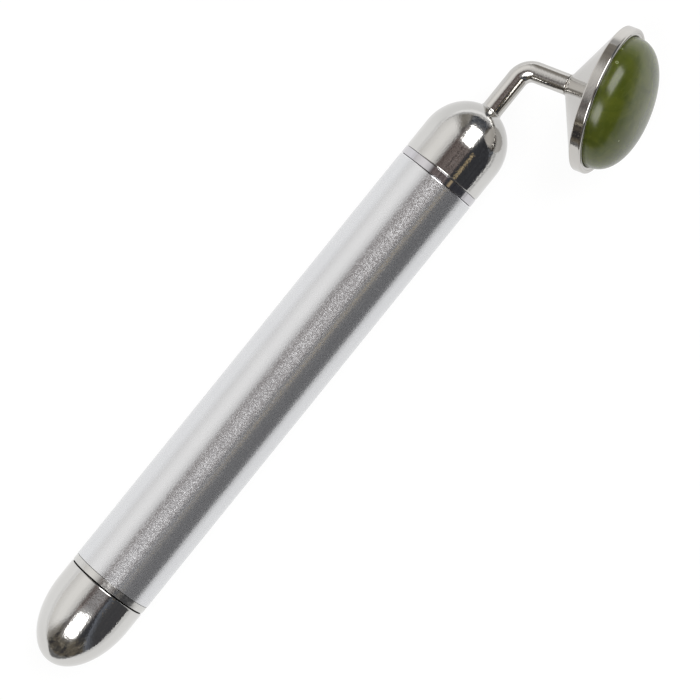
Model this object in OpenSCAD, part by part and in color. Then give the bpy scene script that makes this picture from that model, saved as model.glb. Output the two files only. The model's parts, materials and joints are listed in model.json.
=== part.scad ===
// Slim battery wand with a domed green stone roller on a bent neck.
// The handle lies along X. It rests on its tube and on the rim of the roller.
// h is measured along the handle from the lower end of the tube.
// w is measured along the second leg of the neck from the corner of its bend.

/* [Handle] */
// Outer diameter of the handle tube, caps and bands
tube_d = 18; // [17.9:0.1:18.4]
// Length of the satin tube
tube_len = 104.9; // [100:0.1:112]
// Visible length of the lower polished ring
ring_len = 1.4; // [1.2:0.1:1.6]
// Open seam between the battery cap and the ring when the cap is loosened
cap_gap = 0.35; // [0.3:0.01:0.4]
// Visible length of the upper band
band_len = 1.7; // [1.4:0.1:2.4]

/* [Battery cap] */
// Straight part of the battery cap
cap_straight = 4.45; // [4.2:0.05:5]
// Length of the rounded nose of the battery cap
cap_nose = 14.85; // [14:0.05:17]
// Pitch of the cap thread
thread_pitch = 1.5; // [1.4:0.05:1.6]
// Turns of thread on the nipple and in the cap
thread_turns = 2.1; // [1.8:0.1:2.1]

/* [Neck end] */
// Straight part of the dome cap
dome_straight = 6.55; // [6.4:0.05:7.5]
// Height of the rounded part of the dome cap
dome_nose = 9.9; // [9.6:0.1:11]
// Diameter of the neck rod
neck_d = 4.4; // [4.3:0.05:4.5]
// Distance from the top of the dome to the corner of the bend
neck_rise = 10.85; // [9:0.05:14]
// Angle that the neck bends through
neck_bend = 74; // [70:0.1:78]
// Radius of the bend at the middle of the rod
neck_bend_r = 3.6; // [3.2:0.1:4.2]

/* [Roller] */
// Outer diameter of the rim of the roller cup
head_d = 31.2; // [30.8:0.1:31.4]
// Distance from the corner of the bend to the front of the rim
head_reach = 19.6; // [19.3:0.1:21]
// Half angle of the cone at the back of the cup
cone_angle = 61.3; // [60.5:0.1:62]
// Diameter of the domed stone where it leaves the rim
stone_d = 28.1; // [28:0.05:28.1]
// Height of the stone above the rim
stone_h = 7.4; // [6:0.1:9]

/* [Battery and motor] */
// Diameter of the cell
cell_d = 14.5; // [14:0.1:14.5]
// Length of the cell over its nub
cell_len = 50.5; // [49.5:0.1:50.5]
// Diameter of the vibration motor
motor_d = 12; // [11.6:0.1:12.2]

/* [Hidden] */
$fn = 96;

R = tube_d / 2;
tube_ir = R - 0.8;              // inside radius of the tube
bore_r = cell_d / 2 + 0.2;      // clear bore for the cell
nip_r = tube_ir - 0.3;          // plain radius of the threaded nipple
cap_ir = R - 0.53;              // inside radius of the cap mouth
inner_r = tube_ir - 0.05;       // plastic pieces inside the tube

h_cap = -ring_len - cap_gap;    // mouth of the battery cap
h_nose = h_cap - cap_straight;  // where the nose of the cap starts
mouth = 0.38;                   // rounding of the cap's mouth
h_tip = h_nose - cap_nose;      // end of the battery cap
h_nip = h_cap - 4.85;           // end of the threaded nipple
h_step = h_cap - 5.65;          // end of the wide bore of the cap
h_seat = h_step - 5.15;         // seat of the spring plate

h_cell = -2;                    // base of the cell
h_pos = h_cell + cell_len;      // tip of the cell's nub
h_body = h_pos - 1.3;           // shoulder of the cell
h_con = h_pos + 0.05;           // positive contact
h_car = h_con + 0.4;            // contact carrier
h_mot = h_con + 10.65;          // back of the motor
motor_r = motor_d / 2;

h_band = tube_len;
h_dome = tube_len + band_len;
h_dnose = h_dome + dome_straight;
h_dtop = h_dnose + dome_nose;
neck_r = neck_d / 2;
h_corner = h_dtop + neck_rise;
bend_t = neck_bend_r * tan(neck_bend / 2);

head_r = head_d / 2;
w_front = head_reach;
w_apex = head_reach - 2.5 - (head_r - 0.3) / tan(cone_angle);  // point of the cone
rim_f = 0.3;                    // rounding of the rear edge of the rim
rim_g = 0.45;                   // rounding of the front edge of the rim
w_rimc = w_apex + (head_r - rim_f + rim_f * cos(cone_angle)) / tan(cone_angle) + rim_f * sin(cone_angle);
w_floor = w_front - 2.55;       // ledge that the stone sits on
stone_r = stone_d / 2;
stone_n = 2.3;                  // fullness of the dome, 2 is an ellipse
hub_r = neck_r + 0.22;
hub_f = 0.7;                    // hollow rounding at the hub
w_hub = w_apex + 1.04;          // back face of the hub
w_rod = w_hub - 0.12;           // end of the neck rod

// The handle is turned about its own axis until the rim touches what the tube lies on
qb = w_rimc;
qa = R - rim_f;
qr = head_r - rim_f;
az = (-qa * qb + sqrt(qa * qa * qb * qb - (qb * qb + qr * qr) * (qa * qa - qr * qr))) / (qb * qb + qr * qr);
roll = asin(az / sin(neck_bend));

stone_pts = [for (a = [0:3:90]) [w_front + stone_h * pow(sin(a), 2 / stone_n), stone_r * pow(max(0, cos(a)), 2 / stone_n)]];
rim_top = [w_front - rim_g, head_r - rim_g];
function reach(p, c, g = 0) = p[0] * c + p[1] * sqrt(1 - c * c) + g;
ax = cos(neck_bend);
ay = sin(neck_bend) * cos(roll);
x_hi = h_corner + max(concat([reach(rim_top, ax, rim_g)], [for (p = stone_pts) reach(p, ax)]));
y_lo = -max(concat([reach(rim_top, ay, rim_g)], [for (p = stone_pts) reach(p, ay)]));
x_mid = (x_hi + h_tip) / 2;
y_mid = (R + y_lo) / 2;

nickel = [0.80, 0.78, 0.74];
satin = [0.80, 0.80, 0.82];
brass = [0.78, 0.62, 0.32];
copper = [0.72, 0.42, 0.25];
dark = [0.15, 0.15, 0.16];
plastic = [0.88, 0.88, 0.86];
green = [0.27, 0.32, 0.10];

// Places children drawn along the handle, h on X
module on_handle() translate([-x_mid, -y_mid, R]) children();
// Places children drawn along the second leg of the neck, w on X
module on_head() on_handle() rotate([-roll, 0, 0]) translate([h_corner, 0, 0]) rotate([0, 0, -neck_bend]) children();
// Turned solid about X from a list of [along, radius]
module turned(pts) rotate([0, 90, 0]) rotate_extrude() polygon([for (p = pts) [p[1], p[0]]]);
// Plain ring from a to b between two radii
module ring(a, b, ri, ro, c = 0) turned([[a, ri], [b, ri], [b, ro - c], [b - c, ro], [a + c, ro], [a, ro - c]]);
// Plain rod from a to b
module rod(a, b, r, c = 0) turned([[a, 0], [b, 0], [b, r - c], [b - c, r], [a + c, r], [a, r - c]]);
// Wedge of space from one angle to another about X, measured from +Y towards +Z
module wedge(a, b, r, a0, a1) {
    translate([a, 0, 0]) rotate([0, 90, 0]) rotate([0, 0, 90]) linear_extrude(b - a)
        polygon(concat([[0, 0]], [for (i = [0:8]) let (t = a0 + (a1 - a0) * i / 8) r * [cos(t), sin(t)]]));
}

// Helical ridge about X. It stands outwards when the crest is larger than the root.
module thread_ridge(r_root, r_crest, w_root, w_crest, start, turns, seg = 24) {
    n = floor(turns * seg);
    out = r_crest > r_root;
    function sec(i) = let (a = 360 * i / seg, x = start + thread_pitch * i / seg,
        k = max(0.08, min(1, min(i, n - i) / 5)), rc = r_root + (r_crest - r_root) * k)
        [for (q = [[r_root, -w_root / 2], [rc, -w_crest / 2], [rc, w_crest / 2], [r_root, w_root / 2]])
            [x + q[1], q[0] * cos(a), q[0] * sin(a)]];
    pts = [for (i = [0:n]) each sec(i)];
    f = concat([[3, 2, 1, 0]], [[4 * n, 4 * n + 1, 4 * n + 2, 4 * n + 3]],
        [for (i = [0:n - 1], j = [0:3]) each [
            [4 * i + j, 4 * i + (j + 1) % 4, 4 * (i + 1) + j],
            [4 * i + (j + 1) % 4, 4 * (i + 1) + (j + 1) % 4, 4 * (i + 1) + j]]]);
    polyhedron(pts, out ? f : [for (t = f) [for (k = [len(t) - 1:-1:0]) t[k]]]);
}

// Round wire swept along a list of points
function unit(v) = v / norm(v);
module wire(path, r, sides = 8) {
    n = len(path);
    function tan_at(i) = unit(path[min(i + 1, n - 1)] - path[max(i - 1, 0)]);
    pts = [for (i = [0:n - 1]) let (t = tan_at(i), u = unit(cross(t, abs(t[2]) < 0.9 ? [0, 0, 1] : [0, 1, 0])), v = cross(t, u))
        for (k = [0:sides - 1]) path[i] + r * (cos(360 * k / sides) * u + sin(360 * k / sides) * v)];
    polyhedron(pts, concat(
        [[for (k = [0:sides - 1]) k]], [[for (k = [sides - 1:-1:0]) (n - 1) * sides + k]],
        [for (i = [0:n - 2], k = [0:sides - 1]) each [
            [i * sides + k, (i + 1) * sides + k, i * sides + (k + 1) % sides],
            [i * sides + (k + 1) % sides, (i + 1) * sides + k, (i + 1) * sides + (k + 1) % sides]]]));
}

// ---------------------------------------------------------------- handle
module handle_tube() color(satin) on_handle() ring(0, tube_len, tube_ir, R, 0.12);

module threaded_bush() color(nickel) on_handle() union() {
    turned([[6.8, bore_r], [6.8, tube_ir], [0, tube_ir], [0, R - 0.14], [-0.09, R - 0.05], [-ring_len + 0.12, R - 0.05],
        [-ring_len, R - 0.17], [-ring_len, nip_r], [h_cap - 0.05, nip_r], [h_cap - 0.05, nip_r - 0.08],
        [h_cap - 0.75, nip_r - 0.08], [h_cap - 0.75, nip_r], [h_nip + 0.25, nip_r], [h_nip, nip_r - 0.2], [h_nip, bore_r]]);
    thread_ridge(nip_r - 0.2, nip_r + 0.45, 1.1, 0.35, h_nip + 0.65, thread_turns);
}

module cap_o_ring() color(dark) on_handle()
    translate([h_cap - 0.4, 0, 0]) rotate([0, 90, 0]) rotate_extrude() translate([nip_r + 0.22, 0]) circle(r = 0.29, $fn = 24);

module battery_sleeve() color(plastic) on_handle() ring(6.85, h_con - 0.05, bore_r, inner_r, 0.1);

module battery_cell() color([0.30, 0.33, 0.38]) on_handle()
    turned([[h_cell + 0.25, 0], [h_cell + 0.25, 5.6], [h_cell, 5.9], [h_cell, cell_d / 2 - 0.4], [h_cell + 0.4, cell_d / 2],
        [h_body - 0.4, cell_d / 2], [h_body, cell_d / 2 - 0.4], [h_body, 4.6], [h_body - 0.3, 4.6], [h_body - 0.3, 0]]);

module battery_positive_terminal() color(nickel) on_handle()
    turned([[h_body - 0.3, 0], [h_body - 0.3, 4.5], [h_body, 4.5], [h_body, 3], [h_body + 0.3, 2.7], [h_pos - 0.2, 2.7], [h_pos, 2.5], [h_pos, 0]]);

module battery_negative_terminal() color(nickel) on_handle() rod(h_cell - 0.05, h_cell + 0.25, 5.55, 0.1);

// ---------------------------------------------------------------- contacts and wires
module positive_contact() color(brass) on_handle() {
    rod(h_con, h_car, 5, 0.1);
    rod(h_car - 0.1, h_car + 4.2, 1);
}

module contact_carrier() color(plastic) on_handle() difference() {
    ring(h_car, h_car + 3.5, 1, inner_r, 0.2);
    ring(h_car + 1.5, h_car + 4, 3, 6.2);
}

module ground_clip() color(brass) on_handle() intersection() {
    union() {
        ring(h_car + 4.6, h_car + 8.4, tube_ir - 0.45, tube_ir - 0.06);
        translate([h_car + 5.4, -7.8, -1.2]) cube([0.4, 1.6, 2.4]);
    }
    wedge(h_car + 4, h_car + 9, 14, 160, 200);
}

wire_h = h_car + 4.2;
module red_wire() color([0.7, 0.08, 0.06]) on_handle()
    wire([[wire_h + 0.02, 0, 0], [wire_h + 0.4, 0, 0], [wire_h + 0.9, 0.2, 0.15], [wire_h + 1.5, 0.9, 0.45], [wire_h + 2, 1.8, 0.4],
        [wire_h + 2.5, 2.5, 0.15], [wire_h + 2.9, 2.75, 0], [wire_h + 3.35, 2.75, 0]], 0.45);

module black_wire() color(dark) on_handle()
    wire([[h_car + 5.83, -6.7, 0], [h_car + 6.2, -6.7, 0], [h_car + 6.6, -6.4, 0.15], [h_car + 6.8, -5.6, 0.45], [h_car + 6.85, -4.6, 0.5],
        [h_car + 6.9, -3.6, 0.25], [h_car + 7.05, -2.95, 0], [h_car + 7.3, -2.75, 0], [h_car + 7.6, -2.75, 0]], 0.42);

// ---------------------------------------------------------------- motor
module motor_cradle() color(plastic) on_handle() difference() {
    ring(h_car + 3.55, h_mot + 20, motor_r, inner_r, 0.2);
    ring(h_car + 3.4, h_mot - 0.05, motor_r - 1, motor_r + 1.1);
    wedge(h_car + 4.3, h_car + 8.7, 14, 156, 204);
    translate([h_mot + 3, -1.5, 0]) cube([13, 3, 12]);
}

module motor_can() color(nickel) on_handle() difference() {
    rod(h_mot + 0.8, h_mot + 18.8, motor_r, 0.35);
    rod(h_mot, h_mot + 18.4, motor_r - 0.4);
    rod(h_mot + 18, h_mot + 19, 1.9);
}

module motor_end_cap() color(dark) on_handle() difference() {
    union() {
        rod(h_mot, h_mot + 0.8, motor_r, 0.15);
        rod(h_mot + 0.7, h_mot + 2, motor_r - 0.4);
    }
    rod(h_mot + 0.3, h_mot + 3, 1.6);
    for (s = [-1, 1]) translate([h_mot - 1, s * 2.75 - 0.15, -0.8]) cube([4, 0.3, 1.6]);
}

module motor_magnets() color(dark) on_handle() for (s = [0, 180]) intersection() {
    ring(h_mot + 3.8, h_mot + 14.8, motor_r - 1.45, motor_r - 0.4);
    wedge(h_mot + 3, h_mot + 16, 9, s - 62, s + 62);
}

module motor_front_bush() color(brass) on_handle() ring(h_mot + 17.4, h_mot + 19.4, 0.78, 1.9, 0.1);
module motor_rear_bush() color(brass) on_handle() ring(h_mot + 0.4, h_mot + 1.9, 0.78, 1.6, 0.1);

module motor_terminals() color(brass) on_handle() for (s = [-1, 1])
    translate([h_mot - 2.6, s * 2.75 - 0.15, -0.8]) difference() {
        cube([6, 0.3, 1.6]);
        translate([0.8, 1, 0.8]) rotate([90, 0, 0]) cylinder(h = 2, r = 0.35, $fn = 24);
    }

module motor_brushes() color([0.25, 0.23, 0.22]) on_handle() for (s = [0, 180]) rotate([s, 0, 0])
    translate([h_mot + 2.2, 1.66, -0.6]) cube([1.1, 0.94, 1.2]);

module motor_shaft() color([0.75, 0.75, 0.77]) on_handle() rod(h_mot + 0.5, h_mot + 27.8, 0.75, 0.1);

module motor_armature() color(copper) on_handle() difference() {
    ring(h_mot + 3.9, h_mot + 14.7, 0.75, motor_r - 1.75, 0.1);
    for (a = [0, 120, 240]) rotate([a, 0, 0]) {
        translate([h_mot + 3, 1.9, -0.35]) cube([13, 4, 0.7]);
        translate([h_mot + 3, 2.9, 0]) rotate([0, 90, 0]) cylinder(h = 13, r = 0.8, $fn = 32);
    }
}

module motor_commutator() color(copper) on_handle() ring(h_mot + 2.05, h_mot + 3.8, 0.75, 1.6, 0.1);

module eccentric_weight() color([0.55, 0.53, 0.50]) on_handle() difference() {
    union() {
        intersection() {
            rod(h_mot + 21.3, h_mot + 27.3, 6, 0.2);
            translate([h_mot + 20, -7, -7]) cube([10, 14, 7]);
        }
        rod(h_mot + 21.3, h_mot + 27.3, 1.9, 0.2);
    }
    rod(h_mot + 20, h_mot + 29, 0.75);
}

// ---------------------------------------------------------------- neck end
module coupling_sleeve() color(nickel) on_handle() ring(h_band - 7.9, h_dome + 4.8, tube_ir - 1.3, tube_ir, 0.1);

module upper_band() color([0.76, 0.76, 0.82]) on_handle() ring(h_band, h_dome, tube_ir, R - 0.02, 0.12);

function dome_h(r) = h_dnose + dome_nose * sqrt(1 - (r / R) * (r / R));
fil = 0.75;
fil_r = neck_r + 0.06 + fil;
module dome_cap() color(nickel) on_handle()
    turned(concat(
        [[h_dome, tube_ir], [h_dome, R - 0.4]],
        [for (a = [15:15:90]) [h_dome + 0.4 - 0.4 * cos(a), R - 0.4 + 0.4 * sin(a)]],
        [for (a = [0:3:90]) let (r = R * cos(a)) if (r > fil_r + 0.05) [h_dnose + dome_nose * sin(a), r]],
        [for (a = [0:15:90]) [dome_h(fil_r) + fil - fil * cos(a), fil_r - fil * sin(a)]],
        [[dome_h(fil_r) + fil, neck_r], [h_dtop - 1.5, neck_r], [h_dtop - 1.5, 2], [h_dome + 9.3, 2], [h_dome + 9.3, 6.5],
            [h_dome + 4.9, 6.5], [h_dome + 4.9, tube_ir]]));

module neck_rod() color(nickel) on_handle() rotate([-roll, 0, 0]) {
    rod(h_dome + 5.6, h_dtop - 1.5, 2, 0.3);
    rod(h_dtop - 1.5, h_corner - bend_t, neck_r);
    // The bend runs one degree into each leg
    translate([h_corner - bend_t, -neck_bend_r, 0]) rotate([0, 0, 89 - neck_bend])
        rotate_extrude(angle = neck_bend + 2) translate([neck_bend_r, 0]) circle(r = neck_r - 0.01, $fn = 48);
    translate([h_corner, 0, 0]) rotate([0, 0, -neck_bend]) difference() {
        rod(bend_t, w_rod, neck_r);
        rod(w_rod - 4.6, w_rod + 1, 1.25);
    }
}

module neck_washer() color([0.7, 0.7, 0.72]) on_handle() ring(h_dome + 8.8, h_dome + 9.3, 2, 4.6, 0.08);

module neck_nut() color([0.7, 0.7, 0.72]) on_handle() difference() {
    translate([h_dome + 6.4, 0, 0]) rotate([0, 90, 0]) cylinder(h = 2.4, r = 4.04, $fn = 6);
    rod(h_dome + 6, h_dome + 9, 2);
}

module roller_spindle() color([0.75, 0.75, 0.77]) on_head() turned([[w_rod - 4.6, 0], [w_rod - 4.6, 1.25], [w_hub + 4.46, 1.25],
    [w_hub + 4.46, 0.95], [w_hub + 4.86, 0.95], [w_hub + 4.86, 1.25], [w_hub + 5.35, 1.25], [w_hub + 5.5, 1.1], [w_hub + 5.5, 0]]);

module retaining_clip() color([0.5, 0.5, 0.52]) on_head() difference() {
    ring(w_hub + 4.48, w_hub + 4.84, 0.95, 2.5);
    translate([w_hub + 4, 0, -0.6]) cube([2, 4, 1.2]);
}

// ---------------------------------------------------------------- battery cap
module battery_cap() color(nickel) on_handle() union() {
    turned(concat(
        [[h_cap, cap_ir]], [for (a = [0:45:90]) [h_cap - mouth + mouth * cos(a), R - mouth + mouth * sin(a)]],
        [for (a = [0:3:90]) [h_nose - cap_nose * sin(a), R * cos(a)]],
        [[h_seat - 4.95, 0], [h_seat - 4.95, 3.6], [h_seat, 4.5], [h_seat, 6.45], [h_seat + 0.45, 6.45], [h_seat + 0.45, 6.75],
            [h_seat + 0.98, 6.75], [h_seat + 0.98, 6.45], [h_step, 6.45], [h_step, cap_ir]]));
    thread_ridge(cap_ir + 0.13, nip_r + 0.12, 1.1, 0.35, h_nip + 0.65 - thread_pitch / 2, thread_turns);
}

module contact_retainer() color([0.6, 0.6, 0.62]) on_handle() difference() {
    ring(h_seat + 0.5, h_seat + 0.93, 5.9, 6.72);
    translate([h_seat, 0, -1.2]) cube([2, 9, 2.4]);
}

module spring_plate() color(brass) on_handle() rod(h_seat + 0.05, h_seat + 0.45, 6.38, 0.08);

spring_r = 0.35;
spring_a = h_seat + 0.45 + spring_r + 0.02;
spring_b = h_cell - 0.05 - spring_r - 0.02;
module battery_spring() color([0.72, 0.72, 0.74]) on_handle() wire(
    [for (i = [0:96]) let (u = i / 96, e = max(0, min(1, (u - 0.16) / 0.68)), a = 360 * 5.2 * u, r = 5 - 1.9 * u)
        [spring_a + (spring_b - spring_a) * (0.07 * min(1, u / 0.16) + 0.86 * e + 0.07 * max(0, (u - 0.84) / 0.16)), r * cos(a), r * sin(a)]],
    spring_r, 8);

// ---------------------------------------------------------------- roller
hub_pr = hub_r + hub_f - hub_f * cos(cone_angle);
hub_pw = w_apex + hub_pr / tan(cone_angle);
hub_cw = hub_pw - hub_f * sin(cone_angle);
hub_a0 = asin((w_hub - hub_cw) / hub_f);
wall_in = w_apex + 1.2 / sin(cone_angle);
function in_w(r) = wall_in + r / tan(cone_angle);
module roller_cup() color(nickel) on_head()
    turned(concat(
        [[w_hub, 2]],
        [for (i = [0:5]) let (a = hub_a0 + (cone_angle - hub_a0) * i / 5) [hub_cw + hub_f * sin(a), hub_r + hub_f - hub_f * cos(a)]],
        [for (i = [0:4]) let (b = 90 - cone_angle + cone_angle * i / 4) [w_rimc - rim_f * cos(b), head_r - rim_f + rim_f * sin(b)]],
        [for (a = [0:15:90]) [w_front - rim_g + rim_g * sin(a), head_r - rim_g + rim_g * cos(a)]],
        [[w_front, stone_r + 0.88], [w_front - 0.2, stone_r + 0.7], [w_floor, stone_r + 0.7], [w_floor, 12.6], [in_w(12.5), 12.5],
            [in_w(3.4), 3.4], [w_hub + 3.68, 3.4], [w_hub + 3.68, 2]]));

module roller_bush() color(brass) on_head() turned([[w_hub - 0.06, 1.28], [w_hub - 0.06, 2], [w_hub + 3.68, 2], [w_hub + 3.68, 3],
    [w_hub + 4.06, 3], [w_hub + 4.06, 1.28]]);

module thrust_washer() color([0.9, 0.9, 0.88]) on_head() ring(w_hub + 4.11, w_hub + 4.42, 1.29, 2.9, 0.05);

module stone_pad() color(dark) on_head() ring(w_floor, w_floor + 0.4, 12.7, stone_r + 0.15);

module stone_bezel() color(nickel) on_head() turned([[w_floor, stone_r + 0.25], [w_floor, stone_r + 0.7], [w_front - 0.32, stone_r + 0.7],
    [w_front - 0.2, stone_r + 0.64], [w_front - 0.08, stone_r + 0.5], [w_front - 0.04, stone_r + 0.36], [w_front - 0.1, stone_r + 0.16],
    [w_front - 0.25, stone_r + 0.06], [w_front - 0.95, stone_r + 0.06], [w_front - 1.15, stone_r + 0.25]]);

module jade_stone() color(green) on_head() turned(concat(
    [[w_floor + 0.42, 0], [w_floor + 0.42, stone_r + 0.1], [w_floor + 0.52, stone_r + 0.2], [w_front - 1.2, stone_r + 0.2],
        [w_front - 1, stone_r]], stone_pts));

handle_tube();
threaded_bush();
cap_o_ring();
battery_sleeve();
battery_cell();
battery_positive_terminal();
battery_negative_terminal();
positive_contact();
contact_carrier();
ground_clip();
red_wire();
black_wire();
motor_cradle();
motor_can();
motor_end_cap();
motor_magnets();
motor_front_bush();
motor_rear_bush();
motor_terminals();
motor_brushes();
motor_shaft();
motor_armature();
motor_commutator();
eccentric_weight();
coupling_sleeve();
upper_band();
dome_cap();
neck_rod();
neck_washer();
neck_nut();
roller_spindle();
retaining_clip();
battery_cap();
contact_retainer();
spring_plate();
battery_spring();
roller_cup();
roller_bush();
thrust_washer();
stone_pad();
stone_bezel();
jade_stone();
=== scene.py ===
import json
import math

import bpy
from mathutils import Matrix, Vector


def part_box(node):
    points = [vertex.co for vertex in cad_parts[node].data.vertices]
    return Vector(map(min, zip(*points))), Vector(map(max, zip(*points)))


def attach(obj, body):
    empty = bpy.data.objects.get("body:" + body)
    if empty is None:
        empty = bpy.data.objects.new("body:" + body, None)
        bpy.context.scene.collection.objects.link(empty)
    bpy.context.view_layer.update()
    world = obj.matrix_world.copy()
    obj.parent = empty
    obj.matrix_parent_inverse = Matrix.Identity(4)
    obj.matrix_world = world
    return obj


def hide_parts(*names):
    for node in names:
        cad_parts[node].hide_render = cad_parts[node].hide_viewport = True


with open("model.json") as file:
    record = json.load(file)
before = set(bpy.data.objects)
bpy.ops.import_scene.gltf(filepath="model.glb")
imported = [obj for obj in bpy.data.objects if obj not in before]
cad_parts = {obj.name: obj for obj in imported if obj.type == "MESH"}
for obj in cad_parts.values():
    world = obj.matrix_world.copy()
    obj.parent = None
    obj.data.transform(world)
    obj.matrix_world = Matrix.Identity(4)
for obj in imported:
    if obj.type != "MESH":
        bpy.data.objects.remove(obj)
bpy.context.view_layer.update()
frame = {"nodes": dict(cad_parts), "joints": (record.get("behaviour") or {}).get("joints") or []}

scene = bpy.context.scene
MM = 0.001
D = math.pi / 180

# ---------------------------------------------------------------- the frame's own numbers, in millimetres
R = 9.0
TUBE_LEN, TUBE_IR = 104.9, 8.2
H_CAP, H_NOSE, NOSE = -1.75, -6.2, 14.85
H_NIP, H_STEP, H_SEAT = -6.6, -7.4, -12.55
NIP_R, CAP_IR, BORE_R = 7.9, 8.47, 7.45
PITCH, TURNS = 1.5, 2.1
H_DOME, H_DNOSE, DNOSE = 106.6, 113.15, 9.9
H_DTOP = H_DNOSE + DNOSE
H_CORNER = H_DTOP + 10.85
BEND, BEND_R, NECK_R = 74.0, 3.6, 2.2
BEND_T = BEND_R * math.tan(BEND / 2 * D)
HEAD_R, W_FRONT, CONE = 15.6, 19.6, 61.3
RIM_F, RIM_G = 0.3, 0.45
W_APEX = W_FRONT - 2.5 - (HEAD_R - 0.3) / math.tan(CONE * D)
W_RIMC = W_APEX + (HEAD_R - RIM_F + RIM_F * math.cos(CONE * D)) / math.tan(CONE * D) + RIM_F * math.sin(CONE * D)
W_FLOOR = W_FRONT - 2.55
STONE_R, STONE_H, STONE_N = 14.05, 7.4, 2.3
HUB_R, HUB_F = NECK_R + 0.22, 0.7
W_HUB = W_APEX + 1.04
W_ROD = W_HUB - 0.12

joint = {j["name"]: j for j in frame["joints"]}["roller_spin"]
AXIS = Vector(joint["axis"]).normalized()
# the handle's axis line, from the frame: along +X at the tube's own height
lo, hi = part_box("handle_tube")
AXIS_Y, AXIS_Z = (lo.y + hi.y) / 2, (lo.z + hi.z) / 2
X0 = lo.x                                    # lower end of the tube, h = 0
ROLL = math.asin(AXIS.z / math.sin(BEND * D))

HANDLE = Matrix.Translation((X0, AXIS_Y, AXIS_Z))
HEAD = (HANDLE @ Matrix.Rotation(-ROLL, 4, "X") @ Matrix.Translation((H_CORNER * MM, 0, 0))
        @ Matrix.Rotation(-BEND * D, 4, "Z"))
NECK = HANDLE @ Matrix.Rotation(-ROLL, 4, "X")


# ---------------------------------------------------------------- mesh tools
def arc(ca, cr, rad, a0, a1, n):
    """Points (along, radius) of an arc, angles from +along towards +radius."""
    return [(ca + rad * math.cos((a0 + (a1 - a0) * i / n) * D), cr + rad * math.sin((a0 + (a1 - a0) * i / n) * D))
            for i in range(n + 1)]


def rounded(corners, n=6):
    """A closed or open outline with its corners rounded. Each corner is (along, radius) or (along, radius, rounding)."""
    out = []
    m = len(corners)
    for i, c in enumerate(corners):
        rad = c[2] if len(c) > 2 else 0
        p = Vector(c[:2])
        if rad <= 0 or i in (0, m - 1):
            out.append((p.x, p.y))
            continue
        u = (Vector(corners[i - 1][:2]) - p).normalized()
        v = (Vector(corners[(i + 1) % m][:2]) - p).normalized()
        half = math.acos(max(-1, min(1, u.dot(v)))) / 2
        t = rad / math.tan(half)
        centre = p + (u + v).normalized() * (rad / math.sin(half))
        s, e = p + u * t - centre, p + v * t - centre
        turn = math.atan2(s.x * e.y - s.y * e.x, s.dot(e))
        for k in range(n + 1):
            a = turn * k / n
            out.append((centre.x + s.x * math.cos(a) - s.y * math.sin(a), centre.y + s.x * math.sin(a) + s.y * math.cos(a)))
    return out


def supported(pts, d=0.05, closed=True):
    """Adds a ring close to both ends of each long stretch, so that the shading stays flat there."""
    out = []
    m = len(pts)
    for i in range(m if closed else m - 1):
        a, b = Vector(pts[i]), Vector(pts[(i + 1) % m])
        out.append((a.x, a.y))
        length = (b - a).length
        if length > 6 * d:
            for t in (d / length, 1 - d / length):
                q = a.lerp(b, t)
                out.append((q.x, q.y))
    if not closed:
        out.append(tuple(pts[-1]))
    return out


def finish_mesh(name, verts, faces, matrix, sharp=30):
    me = bpy.data.meshes.new(name)
    me.from_pydata([(x * MM, y * MM, z * MM) for x, y, z in verts], [], faces)
    me.validate()
    me.transform(matrix)
    me.update()
    for p in me.polygons:
        p.use_smooth = True
    me.set_sharp_from_angle(angle=sharp * D)
    ob = bpy.data.objects.new(name, me)
    scene.collection.objects.link(ob)
    return ob


def lathe(name, profile, matrix, segs=192, closed=True, sharp=30, shift=None, scallop=None):
    """A solid turned about X. profile holds (along, radius); the ends may lie on the axis. shift(along, radius, angle) gives the radius there."""
    verts, rows, faces = [], [], []
    for a, r in profile:
        if r < 1e-6:
            rows.append([len(verts)] * segs)
            verts.append((a, 0, 0))
            continue
        rows.append(list(range(len(verts), len(verts) + segs)))
        for k in range(segs):
            t = 2 * math.pi * k / segs
            rr = r if shift is None else shift(a, r, t)
            verts.append((a, rr * math.cos(t), rr * math.sin(t)))
    n = len(rows)
    for i in range(n if closed else n - 1):
        p, q = rows[i], rows[(i + 1) % n]
        if p[0] == p[1] and q[0] == q[1]:
            continue
        for k in range(segs):
            k2 = (k + 1) % segs
            f = [p[k], p[k2], q[k2], q[k]]
            if p[0] == p[1]:
                f = [p[0], q[k2], q[k]]
            elif q[0] == q[1]:
                f = [p[k], p[k2], q[0]]
            faces.append(f)
    area = sum((profile[i][0] * profile[(i + 1) % n][1] - profile[(i + 1) % n][0] * profile[i][1]) for i in range(n))
    if area < 0:      # faces look outwards for an outline that runs one way round
        faces = [f[::-1] for f in faces]
    return finish_mesh(name, verts, faces, matrix, sharp)


def sweep(name, stations, matrix, segs=64, sharp=30):
    """stations holds (centre, side vector, up vector, radius) along a line. Both ends close on the line."""
    verts, rows, faces = [], [], []
    for c, u, v, r in stations:
        c = Vector(c)
        if r < 1e-6:
            rows.append([len(verts)] * segs)
            verts.append(tuple(c))
            continue
        rows.append(list(range(len(verts), len(verts) + segs)))
        for k in range(segs):
            t = 2 * math.pi * k / segs
            verts.append(tuple(c + r * (math.cos(t) * Vector(u) + math.sin(t) * Vector(v))))
    for i in range(len(rows) - 1):
        p, q = rows[i], rows[i + 1]
        for k in range(segs):
            k2 = (k + 1) % segs
            if p[0] == p[1]:
                faces.append([p[0], q[k2], q[k]])
            elif q[0] == q[1]:
                faces.append([p[k], p[k2], q[0]])
            else:
                faces.append([p[k], p[k2], q[k2], q[k]])
    return finish_mesh(name, verts, faces, matrix, sharp)


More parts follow.
